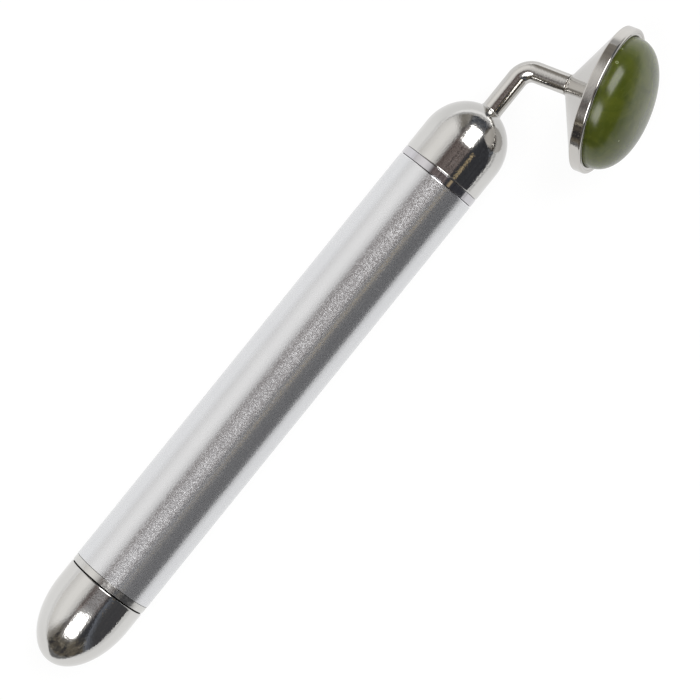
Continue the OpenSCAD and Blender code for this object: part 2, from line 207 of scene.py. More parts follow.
def catmull(points, per):
    pts = [Vector(p) for p in points]
    out = []
    for i in range(len(pts) - 1):
        p0, p1, p2, p3 = pts[max(i - 1, 0)], pts[i], pts[i + 1], pts[min(i + 2, len(pts) - 1)]
        for k in range(per):
            t = k / per
            out.append(0.5 * ((2 * p1) + (p2 - p0) * t + (2 * p0 - 5 * p1 + 4 * p2 - p3) * t * t
                              + (3 * p1 - p0 - 3 * p2 + p3) * t ** 3))
    out.append(pts[-1])
    return out


def wire(name, path, r, matrix, segs=16, per=6, smooth=True):
    line = catmull(path, per) if smooth else [Vector(p) for p in path]
    stations = []
    up = None
    for i, c in enumerate(line):
        t = (line[min(i + 1, len(line) - 1)] - line[max(i - 1, 0)]).normalized()
        if up is None:
            up = Vector((0, 0, 1)) if abs(t.z) < 0.9 else Vector((0, 1, 0))
        side = t.cross(up).normalized()
        up = side.cross(t).normalized()
        if i == 0:
            stations.append((c, side, up, 0))
            stations.append((c, side, up, r * 0.86))
            stations.append((c + t * r * 0.14, side, up, r))
        elif i == len(line) - 1:
            stations.append((c - t * r * 0.14, side, up, r))
            stations.append((c, side, up, r * 0.86))
            stations.append((c, side, up, 0))
        else:
            stations.append((c, side, up, r))
    return sweep(name, stations, matrix, segs)


def ridge(h, t, start, height, sign):
    """Height of the thread at h and angle t: a trapezoid on a helix, fading in and out."""
    best = 0.0
    total = TURNS * 2 * math.pi
    for m in range(-1, 4):
        turn = t + 2 * math.pi * m
        if turn < 0 or turn > total:
            continue
        k = min(1.0, min(turn, total - turn) / (5 / 24 * 2 * math.pi))
        top = height * k
        x = abs(h - (start + PITCH * turn / (2 * math.pi)))
        z = top * max(0.0, min(1.0, (0.43 - x) / 0.26))
        best = max(best, z)
    return sign * best


def steps(a, b, d):
    n = max(1, int(round(abs(b - a) / d)))
    return [a + (b - a) * i / n for i in range(n + 1)]


# ---------------------------------------------------------------- material tools
class Tree:
    """A small helper around a node tree."""

    def __init__(self, nt):
        self.nt = nt
        nt.nodes.clear()

    def node(self, kind, **props):
        n = self.nt.nodes.new(kind)
        for k, v in props.items():
            setattr(n, k, v)
        return n

    def put(self, socket, value):
        if isinstance(value, bpy.types.NodeSocket):
            self.nt.links.new(value, socket)
        else:
            socket.default_value = value

    def math(self, op, a, b=None, c=None, clamp=False):
        n = self.node("ShaderNodeMath", operation=op, use_clamp=clamp)
        for i, x in enumerate((a, b, c)):
            if x is not None:
                self.put(n.inputs[i], x)
        return n.outputs[0]

    def dot(self, vec, const):
        n = self.node("ShaderNodeVectorMath", operation="DOT_PRODUCT")
        self.put(n.inputs[0], vec)
        n.inputs[1].default_value = tuple(const)
        return n.outputs["Value"]

    def ramp(self, value, lo, hi, out_lo=0.0, out_hi=1.0, kind="SMOOTHSTEP"):
        n = self.node("ShaderNodeMapRange", interpolation_type=kind)
        self.put(n.inputs["Value"], value)
        n.inputs["From Min"].default_value = lo
        n.inputs["From Max"].default_value = hi
        n.inputs["To Min"].default_value = out_lo
        n.inputs["To Max"].default_value = out_hi
        return n.outputs["Result"]

    def noise(self, vec, scale, detail=2.0, rough=0.5, distortion=0.0):
        n = self.node("ShaderNodeTexNoise")
        self.put(n.inputs["Vector"], vec)
        n.inputs["Scale"].default_value = scale
        n.inputs["Detail"].default_value = detail
        n.inputs["Roughness"].default_value = rough
        n.inputs["Distortion"].default_value = distortion
        return n.outputs["Fac"]

    def voronoi(self, vec, scale, feature="F1", out="Distance", randomness=1.0):
        n = self.node("ShaderNodeTexVoronoi", feature=feature)
        self.put(n.inputs["Vector"], vec)
        n.inputs["Scale"].default_value = scale
        if "Randomness" in n.inputs:
            n.inputs["Randomness"].default_value = randomness
        return n.outputs[out]

    def mix(self, fac, a, b, mode="MIX"):
        n = self.node("ShaderNodeMix", data_type="RGBA", blend_type=mode)
        self.put(n.inputs[0], fac)
        self.put(n.inputs[6], a)
        self.put(n.inputs[7], b)
        return n.outputs[2]

    def stretch(self, vec, scale, location=(0, 0, 0)):
        n = self.node("ShaderNodeMapping")
        self.put(n.inputs["Vector"], vec)
        n.inputs["Scale"].default_value = scale
        n.inputs["Location"].default_value = location
        return n.outputs[0]

    def bump(self, height, distance, strength=1.0, normal=None):
        n = self.node("ShaderNodeBump")
        self.put(n.inputs["Height"], height)
        n.inputs["Distance"].default_value = distance
        n.inputs["Strength"].default_value = strength
        if normal is not None:
            self.put(n.inputs["Normal"], normal)
        return n.outputs["Normal"]


def rgb(r, g, b):
    return (r, g, b, 1.0)


def material(name):
    m = bpy.data.materials.new(name)
    m.use_nodes = True
    t = Tree(m.node_tree)
    out = t.node("ShaderNodeOutputMaterial")
    sh = t.node("ShaderNodeBsdfPrincipled")
    t.nt.links.new(sh.outputs[0], out.inputs["Surface"])
    co = t.node("ShaderNodeTexCoord").outputs["Object"]
    return m, t, sh, co


def turned_coordinates(t, co, centre=(0.0, 0.0)):
    """(along, radius, angle in radians over 2 pi) of a point about the X axis of the object's own space."""
    sep = t.node("ShaderNodeSeparateXYZ")
    t.put(sep.inputs[0], co)
    y = t.math("SUBTRACT", sep.outputs[1], centre[0])
    z = t.math("SUBTRACT", sep.outputs[2], centre[1])
    r = t.math("SQRT", t.math("ADD", t.math("MULTIPLY", y, y), t.math("MULTIPLY", z, z)))
    a = t.math("ARCTAN2", z, y)
    return sep.outputs[0], r, a


def polished(name, base, tint, rough=0.035, wave=1.0, scratch=1.0, peel=0.0):
    """Mirror-polished plating: faint buffing lines, haze that comes and goes, and a slightly wavy skin."""
    m, t, sh, co = material(name)
    haze = t.noise(co, 90, 3, 0.55)
    fine = t.noise(co, 900, 2, 0.6)
    colour = t.mix(t.ramp(haze, 0.35, 0.68), rgb(*base), rgb(*tint))
    t.put(sh.inputs["Base Color"], colour)
    sh.inputs["Metallic"].default_value = 1.0
    r1 = t.ramp(fine, 0.42, 0.75, rough * 0.8, rough * 1.5)
    r2 = t.ramp(haze, 0.45, 0.8, 0.0, rough * 0.9)
    t.put(sh.inputs["Roughness"], t.math("ADD", r1, r2))
    buff = t.noise(t.stretch(co, (5200, 320, 320)), 1.0, 3, 0.65)
    skin = t.noise(co, 130, 2, 0.5)
    n1 = t.bump(skin, 0.0000120 * wave, 1.0)
    if peel:
        n1 = t.bump(t.noise(co, 2300, 2, 0.6), 0.0000150 * peel, 1.0, n1)
    n2 = t.bump(buff, 0.00000035 * scratch, 1.0, n1)
    t.put(sh.inputs["Normal"], n2)
    return m


def simple(name, base, other, metallic, rough, grain=1200, height=0.000004, blotch=260, ior=None, lines=None, centre=None):
    """A plain finished surface: two tones that drift into each other, uneven gloss and a fine grain or turning marks."""
    m, t, sh, co = material(name)
    broad = t.noise(co, blotch, 3, 0.55)
    fine = t.noise(co, grain, 3, 0.6)
    t.put(sh.inputs["Base Color"], t.mix(t.ramp(broad, 0.3, 0.72), rgb(*base), rgb(*other)))
    sh.inputs["Metallic"].default_value = metallic
    t.put(sh.inputs["Roughness"], t.math("ADD", t.ramp(fine, 0.3, 0.7, rough * 0.85, rough * 1.15), t.ramp(broad, 0.4, 0.8, 0.0, rough * 0.2)))
    if ior:
        sh.inputs["IOR"].default_value = ior
    n1 = t.bump(fine, height, 1.0)
    if lines:
        if centre is None:
            marks = t.noise(t.stretch(co, lines), 1.0, 2, 0.6)
        else:
            along, radius, angle = turned_coordinates(t, co, centre)
            comb = t.node("ShaderNodeCombineXYZ")
            t.put(comb.inputs[0], t.math("MULTIPLY", along, lines[0]))
            t.put(comb.inputs[1], t.math("MULTIPLY", radius, lines[1]))
            t.put(comb.inputs[2], t.math("MULTIPLY", angle, lines[2]))
            marks = t.noise(comb.outputs[0], 1.0, 2, 0.6)
        n1 = t.bump(marks, height * 0.8, 1.0, n1)
    t.put(sh.inputs["Normal"], n1)
    return m


NICKEL = polished("polished_nickel", (0.640, 0.634, 0.620), (0.618, 0.610, 0.594), peel=1.3)
NICKEL_NECK = polished("polished_nickel_neck", (0.630, 0.618, 0.596), (0.600, 0.588, 0.564), rough=0.05, wave=0.5, peel=1.2)
NICKEL_CUP = polished("polished_nickel_cup", (0.560, 0.544, 0.520), (0.530, 0.512, 0.486), rough=0.055, wave=0.8, peel=0.6)
RING = polished("ring_nickel", (0.610, 0.600, 0.625), (0.580, 0.570, 0.592), rough=0.10, wave=0.5, scratch=3)
LOWER_RING = polished("lower_ring_nickel", (0.630, 0.624, 0.605), (0.600, 0.595, 0.575), rough=0.20, wave=0.5, scratch=2)
CUT_EDGE = polished("cut_aluminium_edge", (0.86, 0.86, 0.87), (0.80, 0.80, 0.82), rough=0.09, wave=0.2, scratch=3)
# painted shade: a plain dark matte finish for faces inside the hairlines and the open seam, where shade falls
PAINTED_SEAM_SHADE = simple("seam_shadow", (0.020, 0.018, 0.017), (0.034, 0.031, 0.029), 0.0, 0.60, 5000, 0.000004, 700, ior=1.45)


def window(t, value, lo0, lo1, hi0, hi1):
    """1 between lo1 and hi0, falling softly to 0 at lo0 and hi1."""
    return t.math("MULTIPLY", t.ramp(value, lo0, lo1), t.ramp(value, hi0, hi1, 1.0, 0.0))


def satin_tube():
    """Bead-blasted and clear-anodised aluminium: overlapping dimples a quarter of a millimetre across, with a faint
    painted glint, the base tone a little brighter on the fine grain's peaks.
    """
    m, t, sh, co = material("satin_tube")
    dimple = t.voronoi(co, 4300, "SMOOTH_F1")
    grain = t.noise(co, 3700, 1, 0.5)
    cloud = t.noise(co, 120, 3, 0.5)
    height = t.math("ADD", t.math("MULTIPLY", dimple, 0.45), grain)
    tone = t.mix(t.ramp(cloud, 0.3, 0.7), rgb(0.678, 0.684, 0.700), rgb(0.694, 0.700, 0.715))
    # painted glint: the base tone lifts a little where the fine grain is high
    t.put(sh.inputs["Base Color"], t.mix(t.ramp(grain, 0.35, 0.65, 0.0, 0.5), tone, rgb(0.706, 0.712, 0.726)))
    sh.inputs["Metallic"].default_value = 0.87
    t.put(sh.inputs["Roughness"], t.math("ADD", t.ramp(grain, 0.34, 0.66, 0.16, 0.27), t.ramp(cloud, 0.3, 0.7, 0.0, 0.012)))
    t.put(sh.inputs["Normal"], t.bump(height, 0.000014, 1.0))
    return m


SATIN = satin_tube()


def jade():
    """Dense green nephrite: a cloudy mass with paler drifts and fibres, a skin polished to a wax gloss, two small pits."""
    m, t, sh, co = material("jade")
    warp = t.noise(co, 70, 3, 0.55, 0.4)
    cloud = t.noise(co, 150, 4, 0.58, 1.2)
    drift = t.noise(t.stretch(co, (40, 190, 90)), 1.0, 4, 0.6, 1.5)
    fleck = t.noise(co, 900, 3, 0.6)
    speck = t.voronoi(co, 620)
    deep, mid, pale = rgb(0.057, 0.073, 0.0062), rgb(0.081, 0.098, 0.0100), rgb(0.126, 0.150, 0.034)
    c1 = t.mix(t.ramp(cloud, 0.34, 0.62), deep, mid)
    c2 = t.mix(t.math("MULTIPLY", t.ramp(drift, 0.52, 0.78), 0.75), c1, pale)
    c3 = t.mix(t.math("MULTIPLY", t.ramp(warp, 0.55, 0.75), 0.35), c2, rgb(0.096, 0.116, 0.018))
    c4 = t.mix(t.math("MULTIPLY", t.ramp(fleck, 0.58, 0.75), 0.16), c3, rgb(0.150, 0.172, 0.052))
    c5 = t.mix(t.math("MULTIPLY", t.ramp(speck, 0.10, 0.03), 0.22), c4, rgb(0.18, 0.20, 0.07))
    for centre, r0, r1 in (((0.07855, -0.00348, 0.02713), 0.00022, 0.00036), ((0.08149, -0.00279, 0.02475), 0.0, 0.00020), ((0.08205, -0.00250, 0.02500), 0.0, 0.00016),
                           ((0.08110, -0.00335, 0.02520), 0.0, 0.00014), ((0.06689, -0.01390, 0.02357), 0.0, 0.00019)):
        away = t.node("ShaderNodeVectorMath", operation="DISTANCE")
        t.put(away.inputs[0], co)
        away.inputs[1].default_value = centre
        c5 = t.mix(t.math("MULTIPLY", window(t, away.outputs["Value"], r0 - 0.00008, r0, r1 - 0.00006, r1 + 0.00002), 0.75), c5, rgb(0.33, 0.37, 0.19))
    t.put(sh.inputs["Base Color"], c5)
    sh.inputs["IOR"].default_value = 1.51
    sh.inputs["Subsurface Weight"].default_value = 0.35
    sh.inputs["Subsurface Radius"].default_value = (0.8, 1.0, 0.35)
    sh.inputs["Subsurface Scale"].default_value = 0.0016
    t.put(sh.inputs["Roughness"], t.math("ADD", t.ramp(fleck, 0.3, 0.7, 0.175, 0.215), t.ramp(warp, 0.4, 0.7, 0.0, 0.02)))
    n1 = t.bump(fleck, 0.0000040, 1.0)
    n2 = t.bump(t.noise(co, 260, 2, 0.5), 0.0000160, 1.0, n1)
    t.put(sh.inputs["Normal"], n2)
    return m


JADE = jade()
YZ = (AXIS_Y, AXIS_Z)
STEEL = simple("bright_steel", (0.60, 0.60, 0.61), (0.52, 0.52, 0.53), 1.0, 0.22, 1500, 0.000002, 300, lines=(9000, 9000, 2), centre=YZ)
SPRING = simple("spring_steel", (0.66, 0.66, 0.67), (0.56, 0.55, 0.54), 1.0, 0.18, 2600, 0.0000015, 500)
HEAD_STEEL = simple("spindle_steel", (0.60, 0.60, 0.61), (0.50, 0.50, 0.52), 1.0, 0.20, 2200, 0.000002, 400)
BRASS = simple("brass", (0.72, 0.52, 0.22), (0.62, 0.43, 0.17), 1.0, 0.24, 1400, 0.000002, 280, lines=(7000, 7000, 2), centre=YZ)
HEAD_BRASS = simple("bearing_bronze", (0.66, 0.44, 0.18), (0.56, 0.36, 0.15), 1.0, 0.30, 3200, 0.000003, 420)
COPPER = simple("copper_winding", (0.58, 0.23, 0.09), (0.42, 0.15, 0.06), 1.0, 0.34, 2600, 0.000006, 500, lines=(5200, 300, 1), centre=YZ)
WHITE_PLASTIC = simple("white_moulding", (0.78, 0.77, 0.73), (0.70, 0.69, 0.65), 0.0, 0.46, 5200, 0.000004, 180, ior=1.49)
BLACK_PLASTIC = simple("black_moulding", (0.020, 0.020, 0.022), (0.034, 0.034, 0.036), 0.0, 0.42, 5600, 0.000005, 300, ior=1.5)
RUBBER = simple("black_rubber", (0.016, 0.016, 0.017), (0.030, 0.029, 0.028), 0.0, 0.62, 6400, 0.000006, 600, ior=1.52)
CELL_METAL = simple("cell_metal", (0.62, 0.62, 0.60), (0.54, 0.53, 0.51), 1.0, 0.20, 1600, 0.000002, 260, lines=(8000, 8000, 2), centre=YZ)
MAGNET = simple("sintered_magnet", (0.060, 0.060, 0.064), (0.10, 0.10, 0.102), 0.35, 0.55, 7200, 0.000010, 900)
ALLOY = simple("sintered_alloy", (0.42, 0.39, 0.35), (0.34, 0.31, 0.28), 0.9, 0.42, 6200, 0.000008, 700)
RED_WIRE = simple("red_wire", (0.42, 0.012, 0.010), (0.52, 0.030, 0.020), 0.0, 0.38, 5200, 0.000004, 800, ior=1.5)
BLACK_WIRE = simple("black_wire", (0.016, 0.016, 0.018), (0.030, 0.030, 0.032), 0.0, 0.38, 5200, 0.000004, 800, ior=1.5)
CARBON = simple("carbon_brush", (0.040, 0.034, 0.030), (0.080, 0.060, 0.048), 0.2, 0.60, 7000, 0.000010, 1500)


def cell_jacket():
    """Plain film round the cell: dark below, a pale band at the positive end, a lap seam along it."""
    m, t, sh, co = material("cell_jacket")
    along, radius, angle = turned_coordinates(t, co, YZ)
    broad = t.noise(co, 160, 3, 0.5)
    fine = t.noise(co, 3600, 2, 0.6)
    band = t.ramp(along, X0 + 39.8 * MM, X0 + 40.0 * MM)
    seam = t.ramp(t.math("ABSOLUTE", t.math("SUBTRACT", angle, 2.2)), 0.012, 0.03, 1.0, 0.0)
    dark = t.mix(t.ramp(broad, 0.3, 0.7), rgb(0.030, 0.040, 0.055), rgb(0.042, 0.055, 0.075))
    c = t.mix(band, dark, rgb(0.46, 0.44, 0.40))
    t.put(sh.inputs["Base Color"], t.mix(t.math("MULTIPLY", seam, 0.5), c, rgb(0.10, 0.11, 0.13)))
    sh.inputs["Metallic"].default_value = 0.5
    t.put(sh.inputs["Roughness"], t.ramp(fine, 0.3, 0.7, 0.30, 0.38))
    n1 = t.bump(fine, 0.0000015, 1.0)
    t.put(sh.inputs["Normal"], t.bump(seam, 0.00004, 0.6, n1))
    return m


CELL = cell_jacket()


def dress(ob, mat):
    ob.data.materials.clear()
    ob.data.materials.append(mat)


def stands_for(ob, node, body, mat):
    dress(ob, mat)
    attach(ob, body)
    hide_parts(node)
    return ob


# ---------------------------------------------------------------- the handle's visible pieces
E = 0.12
GROOVE = 0.09                                # width of the hairline at each end of the tube
tube = lathe("satin_tube_shell", supported(rounded([
    (50, TUBE_IR), (0, TUBE_IR, 0.05), (0, R - 0.4), (GROOVE, R - 0.4), (GROOVE, R, 0.03), (TUBE_LEN - GROOVE, R, 0.22),
    (TUBE_LEN - GROOVE, R - 0.5), (TUBE_LEN, R - 0.5), (TUBE_LEN, TUBE_IR, 0.05), (50, TUBE_IR)][:-1]), 0.03), HANDLE, 256)
stands_for(tube, "handle_tube", "handle", SATIN)


def handle_place(p):
    """(along, radius) of a face of a handle piece, in millimetres."""
    return (p.center.x - X0) / MM, math.hypot(p.center.y - AXIS_Y, p.center.z - AXIS_Z) / MM


# the upper edge is cut bright, and both hairlines get painted shade inside: the plain dark finish on the groove faces
tube.data.materials.append(CUT_EDGE)
tube.data.materials.append(PAINTED_SEAM_SHADE)
for p in tube.data.polygons:
    x, r = handle_place(p)
    if r < TUBE_IR + 0.05:
        continue
    if x > TUBE_LEN - GROOVE - 0.225 and r > R - 0.225:
        p.material_index = 1
    elif x < GROOVE + 0.004 or x > TUBE_LEN - GROOVE - 0.004:
        p.material_index = 2

# threaded bush: the ring that shows, the nipple with its groove and thread
ridge_out = lambda a, r, t: r + (ridge(a, t, H_NIP + 0.65, 0.45, 1) if abs(r - NIP_R) < 1e-6 and H_NIP + 0.2 < a < H_CAP - 0.74 else 0)
bush_outline = rounded([
    (6.8, 7.9), (6.8, TUBE_IR, 0.1), (0, TUBE_IR), (0, R - 0.05, 0.03), (-1.48, R - 0.05, 0.03), (-1.48, R - 0.12), (-1.4, R - 0.17), (-1.4, NIP_R),
    (H_CAP - 0.05, NIP_R), (H_CAP - 0.05, NIP_R - 0.08), (H_CAP - 0.75, NIP_R - 0.08), (H_CAP - 0.75, NIP_R)])
bush_outline += [(h, NIP_R) for h in steps(H_CAP - 0.8, H_NIP + 0.25, 0.05)]
bush_outline += [(H_NIP, NIP_R - 0.2), (H_NIP, BORE_R + 0.1), (H_NIP + 0.1, BORE_R), (6.7, BORE_R), (6.8, BORE_R + 0.1)]
bush = lathe("threaded_bush_shell", supported(bush_outline, 0.03), HANDLE, 192, shift=ridge_out)
stands_for(bush, "threaded_bush", "handle", LOWER_RING)
# painted shade, with thread grease, at the root of the nipple behind the open seam: the plain dark finish on these
# faces
bush.data.materials.append(PAINTED_SEAM_SHADE)
for p in bush.data.polygons:
    x, r = handle_place(p)
    if H_CAP - 0.8 < x < -1.39 and NIP_R - 0.2 < r < R - 0.11:
        p.material_index = 1

ring_pts = [(H_CAP - 0.4 + 0.29 * math.cos(2 * math.pi * k / 32), NIP_R + 0.22 + 0.29 * math.sin(2 * math.pi * k / 32)) for k in range(32)]
o_ring = lathe("cap_seal", ring_pts, HANDLE, 128, sharp=60)
stands_for(o_ring, "cap_o_ring", "handle", RUBBER)

band = lathe("upper_band_ring", supported(
    rounded([(TUBE_LEN + 0.8, TUBE_IR), (TUBE_LEN, TUBE_IR), (TUBE_LEN, R - 0.02, 0.05), (H_DOME, R - 0.02, 0.05), (H_DOME, TUBE_IR)]), 0.04), HANDLE, 256)
stands_for(band, "upper_band", "handle", RING)

# dome cap
FIL = 0.46
FIL_R = NECK_R + 0.06 + FIL
dome_h = lambda r: H_DNOSE + DNOSE * math.sqrt(max(0, 1 - (r / R) ** 2))
outline = [(H_DOME, TUBE_IR)] + [(H_DOME + 0.4 - 0.4 * math.cos(a * D), R - 0.4 + 0.4 * math.sin(a * D)) for a in range(0, 91, 9)]
outline += [(h, R) for h in steps(H_DOME + 0.46, H_DNOSE - 0.3, 1.5)]
outline += [(H_DNOSE + DNOSE * math.sin(a * D), R * math.cos(a * D)) for a in [x * 0.75 for x in range(0, 121)] if R * math.cos(a * D) > FIL_R + 0.05]
outline += [(dome_h(FIL_R) + FIL - FIL * math.cos(a * D), FIL_R - FIL * math.sin(a * D)) for a in range(0, 91, 6)]
outline += [(dome_h(FIL_R) + FIL, NECK_R), (H_DTOP - 1.5, NECK_R), (H_DTOP - 1.5, 2), (H_DOME + 9.3, 2), (H_DOME + 9.3, 6.5), (H_DOME + 4.9, 6.5), (H_DOME + 4.9, TUBE_IR)]
dome = lathe("dome_shell", supported(outline, 0.05), HANDLE, 256)
stands_for(dome, "dome_cap", "handle", NICKEL)


# neck rod: stem, first leg, bend, second leg with the spindle's bore
def neck_line(s):
    """Centre and side vector of the neck s millimetres along it from the dome's top, in the neck's plane."""
    leg = H_CORNER - BEND_T - H_DTOP
    turn = BEND_R * BEND * D
    if s <= leg:
        return Vector((H_DTOP + s, 0, 0)), Vector((0, 1, 0))
    if s <= leg + turn:
        a = (s - leg) / BEND_R
        c = Vector((H_CORNER - BEND_T, -BEND_R, 0))
        side = Vector((math.sin(a), math.cos(a), 0))
        return c + side * BEND_R, side
    a = BEND * D
    u = Vector((math.cos(a), -math.sin(a), 0))
    return Vector((H_CORNER, 0, 0)) + u * (BEND_T + s - leg - turn), Vector((math.sin(a), math.cos(a), 0))


def neck_station(s, r):
    c, side = neck_line(s)
    return (c, side, Vector((0, 0, 1)), r)


leg = H_CORNER - BEND_T - H_DTOP
turn = BEND_R * BEND * D
s_end = leg + turn + (W_ROD - BEND_T)
stem = H_DOME + 5.6 - H_DTOP
st = [neck_station(stem, 0), neck_station(stem, 1.7), neck_station(stem + 0.3, 2.0), neck_station(-1.55, 2.0), neck_station(-1.5, 2.0),
      neck_station(-1.5, 2.15), neck_station(-1.45, NECK_R)]
st += [neck_station(s, NECK_R) for s in steps(-1.3, leg - 0.15, 0.5)]
st += [neck_station(s, NECK_R) for s in steps(leg, leg + turn, turn / 56)]
st += [neck_station(s, NECK_R) for s in steps(leg + turn + 0.15, s_end - 0.12, 0.5)]
st += [neck_station(s_end - 0.10 + 0.10 * math.sin(a * D), NECK_R - 0.10 + 0.10 * math.cos(a * D)) for a in (15, 30, 45, 60, 75, 90)]
st += [neck_station(s_end, 1.35), neck_station(s_end, 1.25), neck_station(s_end - 0.05, 1.25), neck_station(s_end - 4.6, 1.25), neck_station(s_end - 4.6, 0)]
neck = sweep("neck_bar", st, NECK, 96)
stands_for(neck, "neck_rod", "handle", NICKEL_NECK)

# ---------------------------------------------------------------- battery cap
ridge_in = lambda a, r, t: r - (ridge(a, t, H_NIP + 0.65 - PITCH / 2, 0.45, 1) if abs(r - CAP_IR) < 1e-6 and H_STEP + 0.1 < a < H_CAP - 0.3 else 0)
MOUTH = 0.34
outline = [(H_CAP, CAP_IR + 0.05)]
outline += [(H_CAP - MOUTH + MOUTH * math.cos(a * D), R - MOUTH + MOUTH * math.sin(a * D)) for a in range(0, 91, 6)]
outline += [(h, R) for h in steps(H_CAP - MOUTH - 0.06, H_NOSE + 0.3, 1.4)]
outline += [(H_NOSE - NOSE * math.sin(a * D), R * math.cos(a * D)) for a in [x * 0.75 for x in range(0, 121)]]
outline[-1] = (H_NOSE - NOSE, 0.0)
outline += [(H_SEAT - 4.95, 0), (H_SEAT - 4.95, 3.6), (H_SEAT, 4.5), (H_SEAT, 6.45), (H_SEAT + 0.45, 6.45), (H_SEAT + 0.45, 6.75),
            (H_SEAT + 0.98, 6.75), (H_SEAT + 0.98, 6.45), (H_STEP, 6.45), (H_STEP, CAP_IR)]
outline += [(h, CAP_IR) for h in steps(H_STEP + 0.06, H_CAP - 0.06, 0.05)]
cap = lathe("battery_cap_shell", supported(outline, 0.04), HANDLE, 256, shift=ridge_in)
stands_for(cap, "battery_cap", "cap", NICKEL)
# painted shade: the flat of the cap's mouth and its inside take the plain dark finish, behind the open seam
cap.data.materials.append(PAINTED_SEAM_SHADE)
for p in cap.data.polygons:
    x, r = handle_place(p)
    if x > H_CAP - 0.02 and r < R - MOUTH - 0.02:
        p.material_index = 1

# the contact spring as one smooth round wire
SPRING_R = 0.35
SA, SB = H_SEAT + 0.45 + SPRING_R + 0.02, -2 - 0.05 - SPRING_R - 0.02
coil = []
for i in range(0, 385):
    u = i / 384
    e = max(0, min(1, (u - 0.16) / 0.68))
    x = SA + (SB - SA) * (0.07 * min(1, u / 0.16) + 0.86 * e + 0.07 * max(0, (u - 0.84) / 0.16))
    a, r = 2 * math.pi * 5.2 * u, 5 - 1.9 * u
    coil.append((x, r * math.cos(a), r * math.sin(a)))
spring = wire("contact_spring", coil, SPRING_R, HANDLE, 16, smooth=False)
stands_for(spring, "battery_spring", "spring_carrier", SPRING)

# the two leads
H_CAR = -2 + 50.5 + 0.05 + 0.4
WH = H_CAR + 4.2
red = wire("red_lead", [(WH + 0.02, 0, 0), (WH + 0.4, 0, 0), (WH + 0.9, 0.2, 0.15), (WH + 1.5, 0.9, 0.45), (WH + 2, 1.8, 0.4),
                        (WH + 2.5, 2.5, 0.15), (WH + 2.9, 2.75, 0), (WH + 3.35, 2.75, 0)], 0.44, HANDLE)
stands_for(red, "red_wire", "handle", RED_WIRE)
black = wire("black_lead", [(H_CAR + 5.83, -6.7, 0), (H_CAR + 6.2, -6.7, 0), (H_CAR + 6.6, -6.4, 0.15), (H_CAR + 6.8, -5.6, 0.45),
                            (H_CAR + 6.85, -4.6, 0.5), (H_CAR + 6.9, -3.6, 0.25), (H_CAR + 7.05, -2.95, 0), (H_CAR + 7.3, -2.75, 0),
                            (H_CAR + 7.6, -2.75, 0)], 0.41, HANDLE)
stands_for(black, "black_wire", "handle", BLACK_WIRE)

# ---------------------------------------------------------------- roller
hub_pr = HUB_R + HUB_F - HUB_F * math.cos(CONE * D)
hub_pw = W_APEX + hub_pr / math.tan(CONE * D)
hub_cw = hub_pw - HUB_F * math.sin(CONE * D)
hub_a0 = math.asin((W_HUB - hub_cw) / HUB_F) / D
wall_in = W_APEX + 1.2 / math.sin(CONE * D)
in_w = lambda r: wall_in + r / math.tan(CONE * D)
outline = [(W_HUB, 2.0)]
hub_r0 = HUB_R + HUB_F - HUB_F * math.cos(hub_a0 * D)
outline += [(W_HUB + 0.3 - 0.3 * math.cos(a * D), hub_r0 - 0.3 + 0.3 * math.sin(a * D)) for a in range(0, 91, 10)]
outline += [pt for pt in [(hub_cw + HUB_F * math.sin((hub_a0 + (CONE - hub_a0) * i / 12) * D), HUB_R + HUB_F - HUB_F * math.cos((hub_a0 + (CONE - hub_a0) * i / 12) * D)) for i in range(13)] if pt[0] > W_HUB + 0.34]
p0 = Vector(outline[-1])
p1 = Vector((W_RIMC - RIM_F * math.cos((90 - CONE) * D), HEAD_R - RIM_F + RIM_F * math.sin((90 - CONE) * D)))
outline += [tuple(p0.lerp(p1, k / 12)) for k in range(1, 12)]
outline += [(W_RIMC - RIM_F * math.cos((90 - CONE + CONE * i / 8) * D), HEAD_R - RIM_F + RIM_F * math.sin((90 - CONE + CONE * i / 8) * D)) for i in range(9)]
outline += [(W_FRONT - RIM_G + RIM_G * math.sin(a * D), HEAD_R - RIM_G + RIM_G * math.cos(a * D)) for a in range(0, 91, 9)]
outline += [(W_FRONT, STONE_R + 0.78), (W_FRONT - 0.02, STONE_R + 0.73), (W_FRONT - 0.07, STONE_R + 0.7), (W_FLOOR, STONE_R + 0.7), (W_FLOOR, 12.6),
            (in_w(12.5), 12.5), (in_w(3.4), 3.4), (W_HUB + 3.68, 3.4), (W_HUB + 3.68, 2.0)]
cup = lathe("roller_cup_shell", supported(outline, 0.04), HEAD, 512)
stands_for(cup, "roller_cup", "roller", NICKEL_CUP)

f = W_FRONT
bez = [(W_FLOOR, STONE_R + 0.25), (W_FLOOR, STONE_R + 0.7), (f - 0.07, STONE_R + 0.7), (f - 0.025, STONE_R + 0.67), (f - 0.010, STONE_R + 0.62),
       (f - 0.010, STONE_R + 0.52), (f - 0.015, STONE_R + 0.42), (f - 0.03, STONE_R + 0.33), (f - 0.06, STONE_R + 0.24), (f - 0.1, STONE_R + 0.16),
       (f - 0.16, STONE_R + 0.10), (f - 0.25, STONE_R + 0.06), (f - 0.95, STONE_R + 0.06), (f - 1.15, STONE_R + 0.25)]
bezel = lathe("bezel_lip", supported(bez, 0.03), HEAD, 512, sharp=40)
stands_for(bezel, "stone_bezel", "roller", NICKEL_CUP)

